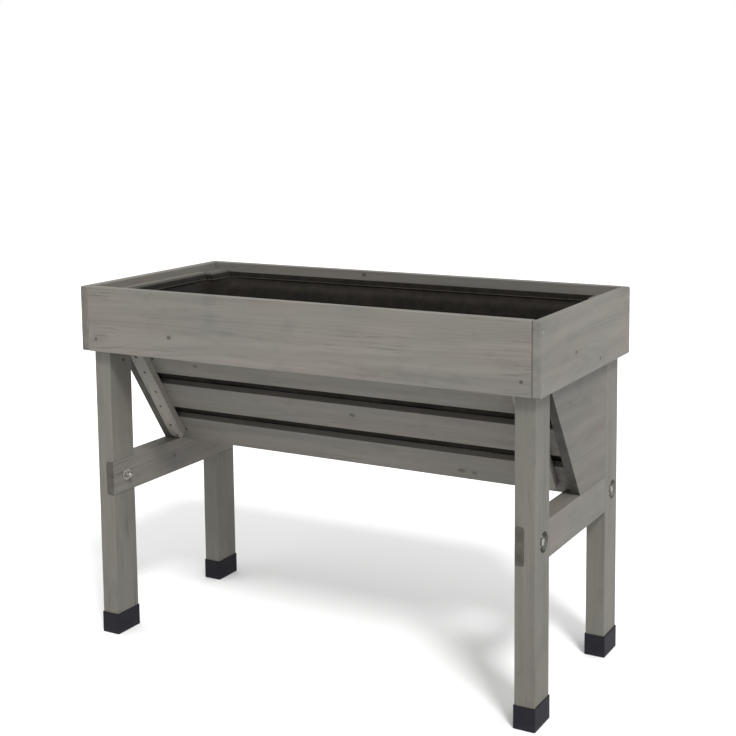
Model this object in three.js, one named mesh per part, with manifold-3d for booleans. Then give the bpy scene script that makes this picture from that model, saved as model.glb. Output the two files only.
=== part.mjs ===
// A raised wooden planter on four legs, to stand with its upright back against a wall.
// Millimetres, +Z up, +X along the width, the sloping slatted front faces -Y.
// Origin: on the ground, under the middle of the box.
import * as THREE from 'three';
import { mergeVertices } from 'three/addons/utils/BufferGeometryUtils.js';
import Module from 'manifold-3d';

const wasm = await Module();
wasm.setup();

// ---- driving dimensions ----
const WIDTH = 1000;
const DEPTH = 460;
const HEIGHT = 730;

const FRAME_BOARD = 18;           // thickness of the four boards round the top
const FRAME_BOARD_HEIGHT = 132;

const LEG_X = 38;
const LEG_Y = 66;
const LEG_BELOW_RIM = 15;

const CAP_WALL = 2;
const CAP_SOLE = 3;
const CAP_HEIGHT = 43;

const RAIL_HEIGHT = 70;
const RAIL_BOTTOM = 296;
const TONGUE = 18;                // rail thickness left where it is halved into a leg
const TONGUE_CORNER = 7;

const PANEL = 18;                 // thickness of the end panels
const PANEL_TOE_Y = 8;            // where the sloping edge meets the rail
const SLOPE = THREE.MathUtils.degToRad(57);

const SLAT = 15;                  // thickness of slats, battens and the base board
const SLAT_WIDTH = 71;
const SLAT_GAP = 30;
const SLAT_COUNT = 4;
const FIRST_SLAT = -17;           // lower edge of the lowest slat, along the slope
const BATTEN_WIDTH = 35;
const BATTEN_BOTTOM = 3;
const BATTEN_LENGTH = 262;
const BATTEN_END_RADIUS = 12;
const RIGHT_BATTEN_INSET = 28;    // the right-hand batten stands in from the slat ends

const BACK_SLAT_WIDTH = 70;
const BACK_SLAT_GAP = 10;
const BACK_SLAT_COUNT = 4;
const BACK_SLAT_RISE = 1.5;       // lowest back slat above the top of the rails

const LINER = 3;
const LINER_TOP = HEIGHT - 18;
const LINER_LAP = 17;             // upright strip of liner against the front board

const BOLT_SETBACK = 8;           // bolt axis behind the middle of its leg
const BOLT_RADIUS = 4;
const BOLT_HEAD_RADIUS = 7.5;     // over the corners of the hexagon
const BOLT_HEAD_HEIGHT = 5.3;
const COUNTERBORE_RADIUS = 19;
const COUNTERBORE_DEPTH = 8;
const WASHER_RADIUS = 12;
const WASHER_THICKNESS = 1.6;
const NUT_HEIGHT = 6.5;
const NUT_DOME_RADIUS = 6;
const NUT_DOME_SHOULDER = 4;      // height of the dome's shoulder above the hexagon
const NUT_DOME_HEIGHT = 5.5;
const HEXAGON = 6;                // sides of the turned shapes
const ROUND_SIDES = 12;
const WASHER_SIDES = 16;
const COUNTERBORE_SIDES = 24;

const SCREW = { radius: 1.75, headRadius: 3.6, headDepth: 2.4, length: 45 };
const PANEL_SCREW = { ...SCREW, length: 33 };    // into the end panels, which are thin
const BRAD = { radius: 1, headRadius: 1.7, headDepth: 1.2, length: 45 };
const FIXING_SIDES = 10;
const PANEL_SCREW_Y = 59;

const FIT = 0.3;                  // clearance round pieces that are let into each other

// ---- derived places ----
const HALF_WIDTH = WIDTH / 2;
const HALF_DEPTH = DEPTH / 2;
const FRAME_BOTTOM = HEIGHT - FRAME_BOARD_HEIGHT;
const LEG_OUTER = HALF_WIDTH - FRAME_BOARD;
const LEG_INNER = LEG_OUTER - LEG_X;
const LEG_FACE = HALF_DEPTH - FRAME_BOARD;
const LEG_BACK = LEG_FACE - LEG_Y;
const LEG_TOP = HEIGHT - LEG_BELOW_RIM;
const RAIL_TOP = RAIL_BOTTOM + RAIL_HEIGHT;
const PANEL_INNER = LEG_OUTER - PANEL;
const SLAT_PITCH = SLAT_WIDTH + SLAT_GAP;
const BASE_TOP = RAIL_TOP + SLAT;
const BACK_SLAT_FACE = LEG_FACE - SLAT;
const BACK_BATTEN_FACE = BACK_SLAT_FACE - SLAT;
const BACK_SLAT_LOW = RAIL_TOP + BACK_SLAT_RISE;
const BACK_SLAT_PITCH = BACK_SLAT_WIDTH + BACK_SLAT_GAP;
const BACK_TOP = BACK_SLAT_LOW + BACK_SLAT_COUNT * BACK_SLAT_PITCH - BACK_SLAT_GAP;
const LEG_SCREW_Z = FRAME_BOTTOM + 26;
const PANEL_SCREW_Z = FRAME_BOTTOM + 20;
const BRAD_LOW_Z = FRAME_BOTTOM + 22;
const BRAD_HIGH_Z = HEIGHT - 19;

// ---- finishes ----
function finish(name, color, roughness, metalness) {
  return new THREE.MeshStandardMaterial({ name, color, roughness, metalness });
}
const greyWash = finish('grey_wash', 0x85827a, 0.75, 0);
const greyWashShade = finish('grey_wash_slats', 0x75726a, 0.78, 0);
const blackPlastic = finish('black_plastic', 0x2a2a2e, 0.55, 0);
const zinc = finish('zinc', 0xb0aea8, 0.35, 0.9);
const felt = finish('felt', 0x23211f, 0.95, 0);

// ---- helpers ----
const planter = new THREE.Group();

function add(name, geometry, material, parent = planter) {
  const mesh = new THREE.Mesh(geometry, material);
  mesh.name = name;
  parent.add(mesh);
  return mesh;
}

// A box given by its two opposite corners.
function block(from, to) {
  const size = to.map((value, axis) => value - from[axis]);
  const geometry = new THREE.BoxGeometry(...size);
  return geometry.translate(...to.map((value, axis) => (value + from[axis]) / 2));
}

// The same box for the left (-1) or the right (+1) end of the planter.
function endBlock(side, from, to) {
  const xs = [side * from[0], side * to[0]].sort((a, b) => a - b);
  return block([xs[0], from[1], from[2]], [xs[1], to[1], to[2]]);
}

function toSolid(geometry) {
  const plain = geometry.clone();
  plain.deleteAttribute('normal');
  plain.deleteAttribute('uv');
  const merged = mergeVertices(plain, 1e-4);
  return new wasm.Manifold(new wasm.Mesh({
    numProp: 3,
    vertProperties: new Float32Array(merged.attributes.position.array),
    triVerts: new Uint32Array(merged.index.array),
  }));
}

function toGeometry(solid) {
  const mesh = solid.getMesh();
  const geometry = new THREE.BufferGeometry();
  geometry.setAttribute('position', new THREE.BufferAttribute(mesh.vertProperties, 3));
  geometry.setIndex(new THREE.BufferAttribute(mesh.triVerts, 1));
  geometry.computeVertexNormals();
  return geometry;
}

function subtract(geometry, ...tools) {
  let solid = toSolid(geometry);
  for (const tool of tools) {
    solid = solid.subtract(toSolid(tool));
  }
  return toGeometry(solid);
}

function join(geometry, ...others) {
  let solid = toSolid(geometry);
  for (const other of others) {
    solid = solid.add(toSolid(other));
  }
  return toGeometry(solid);
}

// An outline in (y, z), given thickness along +X from x.
function extrudeAlongX(outline, x, thickness) {
  const shape = new THREE.Shape(outline.map(([y, z]) => new THREE.Vector2(y, z)));
  const geometry = new THREE.ExtrudeGeometry(shape, { depth: thickness, bevelEnabled: false });
  const toYZ = new THREE.Matrix4().makeBasis(
    new THREE.Vector3(0, 1, 0),
    new THREE.Vector3(0, 0, 1),
    new THREE.Vector3(1, 0, 0),
  );
  return geometry.applyMatrix4(toYZ).translate(x, 0, 0);
}

// A turned shape about an axis: its profile is (radius, distance along the axis from point).
function turned(profile, sides, point, direction) {
  const points = profile.map(([radius, along]) => new THREE.Vector2(radius, along));
  const geometry = new THREE.LatheGeometry(points, sides);
  const turn = new THREE.Quaternion().setFromUnitVectors(
    new THREE.Vector3(0, 1, 0),
    new THREE.Vector3(...direction),
  );
  return geometry.applyQuaternion(turn).translate(...point);
}

// Wooden pieces that fasteners still have to be let into, by name.
const hosts = {};

// ---- four boards round the top: the end boards cover the ends of the long ones ----
for (const [name, side] of [['front_board', -1], ['back_board', 1]]) {
  const ys = [side * LEG_FACE, side * HALF_DEPTH].sort((a, b) => a - b);
  hosts[name] = block([-LEG_OUTER, ys[0], FRAME_BOTTOM], [LEG_OUTER, ys[1], HEIGHT]);
}
const ENDS = [['left', -1], ['right', 1]];
for (const [end, side] of ENDS) {
  hosts[`end_board_${end}`] = endBlock(
    side,
    [LEG_OUTER, -HALF_DEPTH, FRAME_BOTTOM],
    [HALF_WIDTH, HALF_DEPTH, HEIGHT],
  );
}

// ---- side rails, halved into the inner half of the legs ----
// The halved end, seen along the planter's depth: its two outer corners are rounded.
function tongueShape(side, clearance) {
  const inner = side * (LEG_INNER - clearance);
  const outer = side * (LEG_INNER + TONGUE + clearance);
  const low = RAIL_BOTTOM - clearance;
  const high = RAIL_TOP + clearance;
  const corner = TONGUE_CORNER;
  const shape = new THREE.Shape();
  shape.moveTo(inner, low);
  shape.lineTo(outer - side * corner, low);
  shape.quadraticCurveTo(outer, low, outer, low + corner);
  shape.lineTo(outer, high - corner);
  shape.quadraticCurveTo(outer, high, outer - side * corner, high);
  shape.lineTo(inner, high);
  return shape;
}

// The tongue shape drawn in (x, z) and run along Y between two places.
function tongue(side, clearance, fromY, toY) {
  const shape = tongueShape(side, clearance);
  const options = { depth: toY - fromY, bevelEnabled: false, curveSegments: 3 };
  const geometry = new THREE.ExtrudeGeometry(shape, options);
  return geometry.rotateX(Math.PI / 2).translate(0, toY, 0);
}

for (const [end, side] of ENDS) {
  const thick = endBlock(
    side,
    [LEG_INNER, -LEG_BACK + FIT, RAIL_BOTTOM],
    [LEG_OUTER, LEG_BACK - FIT, RAIL_TOP],
  );
  hosts[`side_rail_${end}`] = join(thick, tongue(side, 0, -LEG_FACE, LEG_FACE));
}

// ---- legs: one in each corner of the top frame, notched for the rails ----
const CORNERS = [
  ['front_left', -1, -1],
  ['front_right', 1, -1],
  ['back_left', -1, 1],
  ['back_right', 1, 1],
];
for (const [corner, side, depthSide] of CORNERS) {
  const ys = [depthSide * LEG_BACK, depthSide * LEG_FACE].sort((a, b) => a - b);
  const post = endBlock(side, [LEG_INNER, ys[0], CAP_SOLE], [LEG_OUTER, ys[1], LEG_TOP]);
  const notch = tongue(side, FIT, ys[0] - 1, ys[1] + 1);
  hosts[`leg_${corner}`] = subtract(post, notch);
}

// ---- plastic caps pushed on to the feet ----
for (const [corner, side, depthSide] of CORNERS) {
  const ys = [depthSide * LEG_BACK, depthSide * LEG_FACE].sort((a, b) => a - b);
  const outside = endBlock(
    side,
    [LEG_INNER - CAP_WALL, ys[0] - CAP_WALL, 0],
    [LEG_OUTER + CAP_WALL, ys[1] + CAP_WALL, CAP_HEIGHT],
  );
  const socket = endBlock(side, [LEG_INNER, ys[0], CAP_SOLE], [LEG_OUTER, ys[1], CAP_HEIGHT + 1]);
  add(`foot_cap_${corner}`, subtract(outside, socket), blackPlastic);
}

// ---- end panels: they stand on the rails, between the legs ----
const slopeTopZ = RAIL_TOP + (PANEL_TOE_Y + LEG_BACK) * Math.tan(SLOPE);
const panelOutline = [
  [PANEL_TOE_Y, RAIL_TOP],
  [LEG_BACK, RAIL_TOP],
  [LEG_BACK, LEG_TOP],
  [-LEG_BACK, LEG_TOP],
  [-LEG_BACK, slopeTopZ],
];
for (const [end, side] of ENDS) {
  const from = side > 0 ? PANEL_INNER : -LEG_OUTER;
  hosts[`end_panel_${end}`] = extrudeAlongX(panelOutline, from, PANEL);
}

// ---- screws and brads through the top frame, with holes cut to suit ----
function fixingProfile(kind, clearance) {
  return [
    [0, 0],
    [kind.headRadius + clearance, 0],
    [kind.radius + clearance, kind.headDepth],
    [kind.radius + clearance, kind.length + clearance],
    [0, kind.length + clearance],
  ];
}

function drive(kind, name, point, direction, through) {
  const fixing = turned(fixingProfile(kind, 0), FIXING_SIDES, point, direction);
  add(name, fixing, zinc);
  const hole = turned(fixingProfile(kind, FIT / 2), FIXING_SIDES, point, direction);
  for (const host of through) {
    hosts[host] = subtract(hosts[host], hole);
  }
}

const LEG_MIDDLE_X = (LEG_INNER + LEG_OUTER) / 2;
const LEG_MIDDLE_Y = (LEG_BACK + LEG_FACE) / 2;
const BRAD_Y = HALF_DEPTH - FRAME_BOARD / 2;
for (const [corner, side, depthSide] of CORNERS) {
  const longBoard = depthSide < 0 ? 'front_board' : 'back_board';
  const endBoard = side < 0 ? 'end_board_left' : 'end_board_right';
  const point = [side * LEG_MIDDLE_X, depthSide * HALF_DEPTH, LEG_SCREW_Z];
  drive(SCREW, `screw_leg_${corner}`, point, [0, -depthSide, 0], [longBoard, `leg_${corner}`]);
  for (const [place, z] of [['low', BRAD_LOW_Z], ['high', BRAD_HIGH_Z]]) {
    const cornerPoint = [side * HALF_WIDTH, depthSide * BRAD_Y, z];
    drive(BRAD, `brad_${corner}_${place}`, cornerPoint, [-side, 0, 0], [endBoard, longBoard]);
  }
}

for (const [end, side] of ENDS) {
  const point = [side * HALF_WIDTH, PANEL_SCREW_Y, PANEL_SCREW_Z];
  const through = [`end_board_${end}`, `end_panel_${end}`];
  drive(PANEL_SCREW, `screw_panel_${end}`, point, [-side, 0, 0], through);
}

// ---- one bolt through each leg and the rail let into it ----
// Hexagon head and washer sunk in the outer face, washer and domed nut on the inside.
const BOLT_Z = RAIL_BOTTOM + RAIL_HEIGHT / 2;
const WASHER_HOLE = BOLT_RADIUS + FIT;
const washerProfile = [
  [WASHER_HOLE, 0],
  [WASHER_RADIUS, 0],
  [WASHER_RADIUS, WASHER_THICKNESS],
  [WASHER_HOLE, WASHER_THICKNESS],
  [WASHER_HOLE, 0],
];
for (const [corner, side, depthSide] of CORNERS) {
  const y = depthSide * LEG_MIDDLE_Y + BOLT_SETBACK;
  const inwards = [-side, 0, 0];
  const outwards = [side, 0, 0];
  const seat = [side * (LEG_OUTER - COUNTERBORE_DEPTH), y, BOLT_Z];
  const underHead = [side * (LEG_OUTER - COUNTERBORE_DEPTH + WASHER_THICKNESS), y, BOLT_Z];
  const inside = [side * LEG_INNER, y, BOLT_Z];
  const shankEnd = LEG_X - COUNTERBORE_DEPTH + 2 * WASHER_THICKNESS;

  const shankProfile = [[0, -1], [BOLT_RADIUS, -1], [BOLT_RADIUS, shankEnd], [0, shankEnd]];
  const shank = turned(shankProfile, ROUND_SIDES, underHead, inwards);
  const headProfile = [
    [0, 0],
    [BOLT_HEAD_RADIUS, 0],
    [BOLT_HEAD_RADIUS, BOLT_HEAD_HEIGHT],
    [0, BOLT_HEAD_HEIGHT],
  ];
  const head = turned(headProfile, HEXAGON, underHead, outwards);
  add(`bolt_${corner}`, join(head, shank), zinc);
  add(`washer_outer_${corner}`, turned(washerProfile, WASHER_SIDES, seat, outwards), zinc);
  add(`washer_inner_${corner}`, turned(washerProfile, WASHER_SIDES, inside, inwards), zinc);

  const nutSeat = [side * (LEG_INNER - WASHER_THICKNESS - FIT), y, BOLT_Z];
  const nutProfile = [[0, 0], [BOLT_HEAD_RADIUS, 0], [BOLT_HEAD_RADIUS, NUT_HEIGHT], [0, NUT_HEIGHT]];
  const nut = turned(nutProfile, HEXAGON, nutSeat, inwards);
  const domeProfile = [
    [0, 1],
    [NUT_DOME_RADIUS, 1],
    [NUT_DOME_RADIUS, NUT_HEIGHT],
    [0.7 * NUT_DOME_RADIUS, NUT_HEIGHT + NUT_DOME_SHOULDER],
    [0, NUT_HEIGHT + NUT_DOME_HEIGHT],
  ];
  const dome = turned(domeProfile, ROUND_SIDES, nutSeat, inwards);
  add(`cap_nut_${corner}`, join(nut, dome), zinc);

  const boreProfile = [[0, -1], [WASHER_HOLE, -1], [WASHER_HOLE, LEG_X + 1], [0, LEG_X + 1]];
  const bore = turned(boreProfile, ROUND_SIDES, inside, outwards);
  const counterboreProfile = [
    [0, 0],
    [COUNTERBORE_RADIUS, 0],
    [COUNTERBORE_RADIUS, COUNTERBORE_DEPTH + 1],
    [0, COUNTERBORE_DEPTH + 1],
  ];
  const counterbore = turned(counterboreProfile, COUNTERBORE_SIDES, seat, outwards);
  hosts[`leg_${corner}`] = subtract(hosts[`leg_${corner}`], bore, counterbore);
  const rail = side < 0 ? 'side_rail_left' : 'side_rail_right';
  hosts[rail] = subtract(hosts[rail], bore);
}

for (const [name, geometry] of Object.entries(hosts)) {
  add(name, geometry, greyWash);
}

// ---- sloping front: slats and end battens in a group that lies in the slope ----
// In the group +X is along the slats, +Y runs up the slope and +Z points out of the trough.
const front = new THREE.Group();
front.position.set(0, PANEL_TOE_Y, RAIL_TOP);
front.rotation.x = Math.PI - SLOPE;
front.updateMatrixWorld(true);
planter.add(front);

const railEnds = ENDS.map(([, side]) => endBlock(
  side,
  [LEG_INNER - FIT, -LEG_FACE, RAIL_BOTTOM],
  [LEG_OUTER, LEG_FACE, RAIL_TOP + FIT],
).applyMatrix4(front.matrixWorld.clone().invert()));

for (let i = 0; i < SLAT_COUNT; i += 1) {
  const low = FIRST_SLAT + i * SLAT_PITCH;
  const isTop = i === SLAT_COUNT - 1;
  // The top slat is as high as the front legs and fits between them.
  const reach = isTop ? LEG_INNER - FIT : PANEL_INNER - FIT;
  const slat = block([-reach, low, -2 * SLAT], [reach, low + SLAT_WIDTH, -SLAT]);
  // The lowest slat is notched over the two rails.
  const shaped = i === 0 ? subtract(slat, ...railEnds) : slat;
  add(`front_slat_${i + 1}`, shaped, greyWashShade, front);
}

function battenShape() {
  const half = BATTEN_WIDTH / 2;
  const end = BATTEN_END_RADIUS;
  const shape = new THREE.Shape();
  shape.moveTo(-half, BATTEN_LENGTH);
  shape.lineTo(-half, end);
  shape.quadraticCurveTo(-half, 0, end - half, 0);
  shape.lineTo(half - end, 0);
  shape.quadraticCurveTo(half, 0, half, end);
  shape.lineTo(half, BATTEN_LENGTH);
  return shape;
}
const battenPlaces = [
  ['left', -PANEL_INNER + FIT + BATTEN_WIDTH / 2],
  ['right', PANEL_INNER - RIGHT_BATTEN_INSET - BATTEN_WIDTH / 2],
];
for (const [end, x] of battenPlaces) {
  const options = { depth: SLAT - FIT, bevelEnabled: false, curveSegments: 4 };
  const batten = new THREE.ExtrudeGeometry(battenShape(), options);
  const mesh = add(`front_batten_${end}`, batten, greyWashShade, front);
  mesh.position.set(x, BATTEN_BOTTOM, FIT - SLAT);
}

// ---- upright back: slats between the back legs, flush with them, nailed to two battens ----
const backReach = LEG_INNER - FIT;
for (let i = 0; i < BACK_SLAT_COUNT; i += 1) {
  const low = BACK_SLAT_LOW + i * BACK_SLAT_PITCH;
  const high = low + BACK_SLAT_WIDTH;
  const slat = block([-backReach, BACK_SLAT_FACE, low], [backReach, LEG_FACE, high]);
  add(`back_slat_${i + 1}`, slat, greyWashShade);
}
const backBattenReach = backReach - BATTEN_WIDTH;
for (const [end, side] of ENDS) {
  const batten = endBlock(
    side,
    [backBattenReach, BACK_BATTEN_FACE, BASE_TOP],
    [backReach, BACK_SLAT_FACE, BACK_TOP],
  );
  add(`back_batten_${end}`, batten, greyWashShade);
}

// ---- base: a board lying on the inner ledges of the rails, notched round the back legs ----
const insideOfSlats = 2 * SLAT + FIT;
const baseFront = PANEL_TOE_Y + insideOfSlats * Math.sin(SLOPE) - FIRST_SLAT * Math.cos(SLOPE);
const base = block(
  [-PANEL_INNER + FIT, baseFront, RAIL_TOP],
  [PANEL_INNER - FIT, BACK_SLAT_FACE - FIT, BASE_TOP],
);
const backLegs = ENDS.map(([, side]) => endBlock(
  side,
  [LEG_INNER - FIT, LEG_BACK - FIT, RAIL_TOP - 1],
  [LEG_OUTER, LEG_FACE, BASE_TOP + 1],
));
add('base_board', subtract(base, ...backLegs), greyWashShade);

// ---- liner: an open bag that lies against the inside of the trough ----
// Cross-section of the space inside the wood, drawn in from the wood by a margin.
function troughOutline(margin, top) {
  const back = BACK_SLAT_FACE - margin;
  const backShelf = BACK_TOP + margin;
  const boardFace = LEG_FACE - margin;
  const floor = BASE_TOP + margin;
  const depthIn = 2 * SLAT + margin;
  const slopeY = (up) => PANEL_TOE_Y + depthIn * Math.sin(SLOPE) - up * Math.cos(SLOPE);
  const slopeZ = (up) => RAIL_TOP + depthIn * Math.cos(SLOPE) + up * Math.sin(SLOPE);
  const floorUp = (floor - slopeZ(0)) / Math.sin(SLOPE);
  const topUp = FIRST_SLAT + SLAT_COUNT * SLAT_PITCH - SLAT_GAP;
  return [
    [slopeY(floorUp), floor],
    [back, floor],
    [back, backShelf],
    [boardFace, backShelf],
    [boardFace, top],
    [-boardFace, top],
    [-boardFace, LINER_TOP - LINER_LAP],
    [slopeY(topUp), slopeZ(topUp)],
  ];
}

// The wood that stands into the trough's corners: the legs, and the battens of the back.
function cornerTimbers(margin) {
  const timbers = CORNERS.map(([, side, depthSide]) => {
    const inner = LEG_BACK - margin;
    const ys = [depthSide * inner, depthSide * HALF_DEPTH].sort((a, b) => a - b);
    return endBlock(side, [LEG_INNER - margin, ys[0], RAIL_TOP], [LEG_OUTER, ys[1], HEIGHT]);
  });
  for (const [, side] of ENDS) {
    timbers.push(endBlock(
      side,
      [backBattenReach - margin, BACK_BATTEN_FACE - margin, RAIL_TOP],
      [LEG_INNER, BACK_SLAT_FACE, BACK_TOP + margin],
    ));
  }
  return timbers;
}

function troughSpace(margin, top) {
  const reach = PANEL_INNER - margin;
  const space = extrudeAlongX(troughOutline(margin, top), -reach, 2 * reach);
  return subtract(space, ...cornerTimbers(margin));
}
const liner = subtract(troughSpace(FIT, LINER_TOP), troughSpace(FIT + LINER, LINER_TOP + 1));
add('liner', liner, felt);

export default planter;
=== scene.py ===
# A raised wooden trough planter, finished around its CAD frame.
# Metres, +Z up, +X along the width, the sloping front towards -Y.
import math
import random

import bmesh
import bpy
from mathutils import Matrix, Vector, noise


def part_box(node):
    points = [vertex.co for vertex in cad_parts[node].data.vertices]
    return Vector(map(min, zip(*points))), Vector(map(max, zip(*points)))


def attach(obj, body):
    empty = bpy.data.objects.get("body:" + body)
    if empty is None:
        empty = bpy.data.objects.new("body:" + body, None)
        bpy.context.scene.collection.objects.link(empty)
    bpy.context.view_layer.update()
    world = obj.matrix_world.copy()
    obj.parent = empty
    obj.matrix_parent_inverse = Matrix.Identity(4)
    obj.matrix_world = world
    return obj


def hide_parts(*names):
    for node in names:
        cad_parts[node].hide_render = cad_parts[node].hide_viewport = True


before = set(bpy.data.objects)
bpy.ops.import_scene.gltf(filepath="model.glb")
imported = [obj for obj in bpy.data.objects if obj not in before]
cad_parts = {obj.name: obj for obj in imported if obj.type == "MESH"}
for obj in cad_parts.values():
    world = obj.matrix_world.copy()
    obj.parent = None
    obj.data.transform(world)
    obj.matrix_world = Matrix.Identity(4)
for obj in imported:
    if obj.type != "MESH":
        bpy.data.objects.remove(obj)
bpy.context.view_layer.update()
scene = bpy.context.scene
scene.view_settings.view_transform = "Standard"

# ---- Camera ----
# A long lens about 0.4 m above the rim, looking a little down at the front and the right-hand
# end. The frame is slid down instead of tilting further, which keeps the legs upright.
camera_data = bpy.data.cameras.new("camera")
camera_data.lens = 65.75
camera_data.shift_y = -0.1596
camera = bpy.data.objects.new("camera", camera_data)
scene.collection.objects.link(camera)
heading = Matrix.Rotation(math.radians(29.37), 4, "Z")
dip = Matrix.Rotation(math.radians(90 - 6.59), 4, "X")
roll = Matrix.Rotation(math.radians(-0.61), 4, "Z")
camera.matrix_world = Matrix.Translation((1.3313, -2.2936, 1.1072)) @ heading @ dip @ roll
scene.camera = camera


# ---- Floor and light ----
# A pale studio floor that runs out into a white surround, under a soft ceiling, with one lamp
# in front on the right and a weak broad one low on the right that opens up the shade.
def node(tree, kind, inputs=None, **settings):
    """A new node. Its inputs are values or sockets to link, by name or by number."""
    made = tree.nodes.new(kind)
    for name, value in settings.items():
        setattr(made, name, value)
    for name, value in (inputs or {}).items():
        if isinstance(value, bpy.types.NodeSocket):
            tree.links.new(value, made.inputs[name])
        else:
            made.inputs[name].default_value = value
    return made


def add_object(name, data):
    made = bpy.data.objects.new(name, data)
    scene.collection.objects.link(made)
    return made


def new_material(name):
    """A new material, with its node tree and the shader in it."""
    made = bpy.data.materials.new(name)
    made.use_nodes = True
    return made, made.node_tree, made.node_tree.nodes["Principled BSDF"]


world = bpy.data.worlds.new("studio")
scene.world = world
world.use_nodes = True
air = world.node_tree
air.nodes.clear()
seen = node(air, "ShaderNodeLightPath").outputs["Is Camera Ray"]
towards = node(air, "ShaderNodeTexCoord").outputs["Generated"]
height = node(air, "ShaderNodeSeparateXYZ", {0: towards}).outputs["Z"]
ceiling = {"Value": height, "From Min": 0.0, "From Max": 1.0, "To Min": 0.57, "To Max": 1.18}
ceiling = node(air, "ShaderNodeMapRange", ceiling).outputs["Result"]
fill = node(air, "ShaderNodeBackground", {"Color": (1, 1, 1, 1), "Strength": ceiling})
white = node(air, "ShaderNodeBackground", {"Color": (1, 1, 1, 1), "Strength": 1.0})
either = node(air, "ShaderNodeMixShader", {0: seen, 1: fill.outputs[0], 2: white.outputs[0]})
node(air, "ShaderNodeOutputWorld", {"Surface": either.outputs[0]})

FLOOR_REACH = 60.0
floor_mesh = bpy.data.meshes.new("floor")
floor_bm = bmesh.new()
bmesh.ops.create_grid(floor_bm, x_segments=2, y_segments=2, size=FLOOR_REACH)
floor_bm.to_mesh(floor_mesh)
floor_bm.free()
floor = add_object("floor", floor_mesh)
floor_paint, tree, shader = new_material("floor_paint")
shader.inputs["Base Color"].default_value = (0.9, 0.9, 0.9, 1)
shader.inputs["Roughness"].default_value = 0.9
floor_mesh.materials.append(floor_paint)


def add_lamp(name, energy, spread, towards):
    """A distant soft lamp: how strong, how many degrees wide, and where it stands."""
    data = bpy.data.lights.new(name, "SUN")
    data.energy = energy
    data.angle = math.radians(spread)
    lamp = add_object(name, data)
    lamp.matrix_world = Vector(towards).to_track_quat("Z", "Y").to_matrix().to_4x4()


add_lamp("key", 2.35, 12, (0.50, -0.50, 0.80))
add_lamp("side", 0.20, 60, (1.0, -0.12, 0.10))


# ---- Washed softwood ----
# Every timber is planed softwood under a thin, uneven grey wash. Growth rings show faintly
# through it, knots darker, cut ends darker still, and the wash is rubbed along the arrises,
# which are also painted lighter as a highlight, most of all where they face upward.
def new_group(name, inputs, outputs):
    """A shader node group with named inputs and outputs, and its two end nodes."""
    tree = bpy.data.node_groups.new(name, "ShaderNodeTree")
    for label, kind, value in inputs:
        socket = tree.interface.new_socket(label, in_out="INPUT", socket_type=f"NodeSocket{kind}")
        if value is not None:
            socket.default_value = value
    for label, kind in outputs:
        tree.interface.new_socket(label, in_out="OUTPUT", socket_type=f"NodeSocket{kind}")
    return tree, tree.nodes.new("NodeGroupInput").outputs, tree.nodes.new("NodeGroupOutput").inputs


def use_group(tree, group, inputs):
    return node(tree, "ShaderNodeGroup", inputs, node_tree=group).outputs


def maths(tree, operation, a, b=0.0, c=0.0):
    return node(tree, "ShaderNodeMath", {0: a, 1: b, 2: c}, operation=operation).outputs[0]


def vector_maths(tree, operation, a, b):
    return node(tree, "ShaderNodeVectorMath", {0: a, 1: b}, operation=operation).outputs[0]


def stretch_noise(tree, place, scale, detail=2.0, roughness=0.5):
    """Noise drawn out along the grain: scale is in features per metre on each axis."""
    at = vector_maths(tree, "MULTIPLY", place, scale)
    inputs = {"Vector": at, "Scale": 1.0, "Detail": detail, "Roughness": roughness}
    return node(tree, "ShaderNodeTexNoise", inputs)


def ramp(tree, value, low, high, to_low=0.0, to_high=1.0):
    limits = {"From Min": low, "From Max": high, "To Min": to_low, "To Max": to_high}
    inputs = {"Value": value, **limits}
    return node(tree, "ShaderNodeMapRange", inputs, interpolation_type="SMOOTHSTEP").outputs["Result"]


def blend_colours(tree, amount, first, second):
    mixed = node(tree, "ShaderNodeMix", {"Factor": amount}, data_type="RGBA", clamp_factor=True)
    for socket, value in ((mixed.inputs[6], first), (mixed.inputs[7], second)):
        if isinstance(value, bpy.types.NodeSocket):
            tree.links.new(value, socket)
        else:
            socket.default_value = value
    return mixed.outputs[2]


def shade(r, g, b):
    """A paint colour given as it looks on a screen, 0 to 255, as a linear colour."""
    return tuple((c / 255) ** 2.2 for c in (r, g, b)) + (1.0,)


def length_of(tree, vector):
    return node(tree, "ShaderNodeVectorMath", {0: vector}, operation="LENGTH").outputs["Value"]


def roughen(tree, shader, height, strength, distance):
    """Let a height over the surface bend the light on it: distance is how deep, in metres."""
    inputs = {"Height": height, "Strength": strength, "Distance": distance}
    bump = node(tree, "ShaderNodeBump", inputs)
    tree.links.new(bump.outputs[0], shader.inputs["Normal"])


# Where a branch left the trunk: a dark core, a darker rim and the grain pushed round it.
knot_group, knot_in, knot_out = new_group(
    "knot",
    [("Place", "Vector", None), ("Centre", "Vector", None), ("Radius", "Float", 0.004)],
    [("Core", "Float"), ("Rim", "Float"), ("Swell", "Float")],
)
tree = knot_group
offset = vector_maths(tree, "SUBTRACT", knot_in["Place"], knot_in["Centre"])
ragged = stretch_noise(tree, knot_in["Place"], (160, 160, 20)).outputs["Fac"]
out = length_of(tree, vector_maths(tree, "MULTIPLY", offset, (0.75, 1.0, 0.0)))
out = maths(tree, "DIVIDE", out, knot_in["Radius"])
out = maths(tree, "ADD", out, maths(tree, "MULTIPLY", ragged, 0.7))
tree.links.new(ramp(tree, out, 1.5, 1.05), knot_out["Core"])
from_rim = maths(tree, "ABSOLUTE", maths(tree, "SUBTRACT", out, 1.4))
tree.links.new(ramp(tree, from_rim, 0.38, 0.0), knot_out["Rim"])
reach = length_of(tree, vector_maths(tree, "MULTIPLY", offset, (0.26, 0.62, 0.0)))
reach = maths(tree, "POWER", maths(tree, "DIVIDE", reach, knot_in["Radius"]), 2.0)
fade = maths(tree, "EXPONENT", maths(tree, "MULTIPLY", reach, -1.0))
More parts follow.
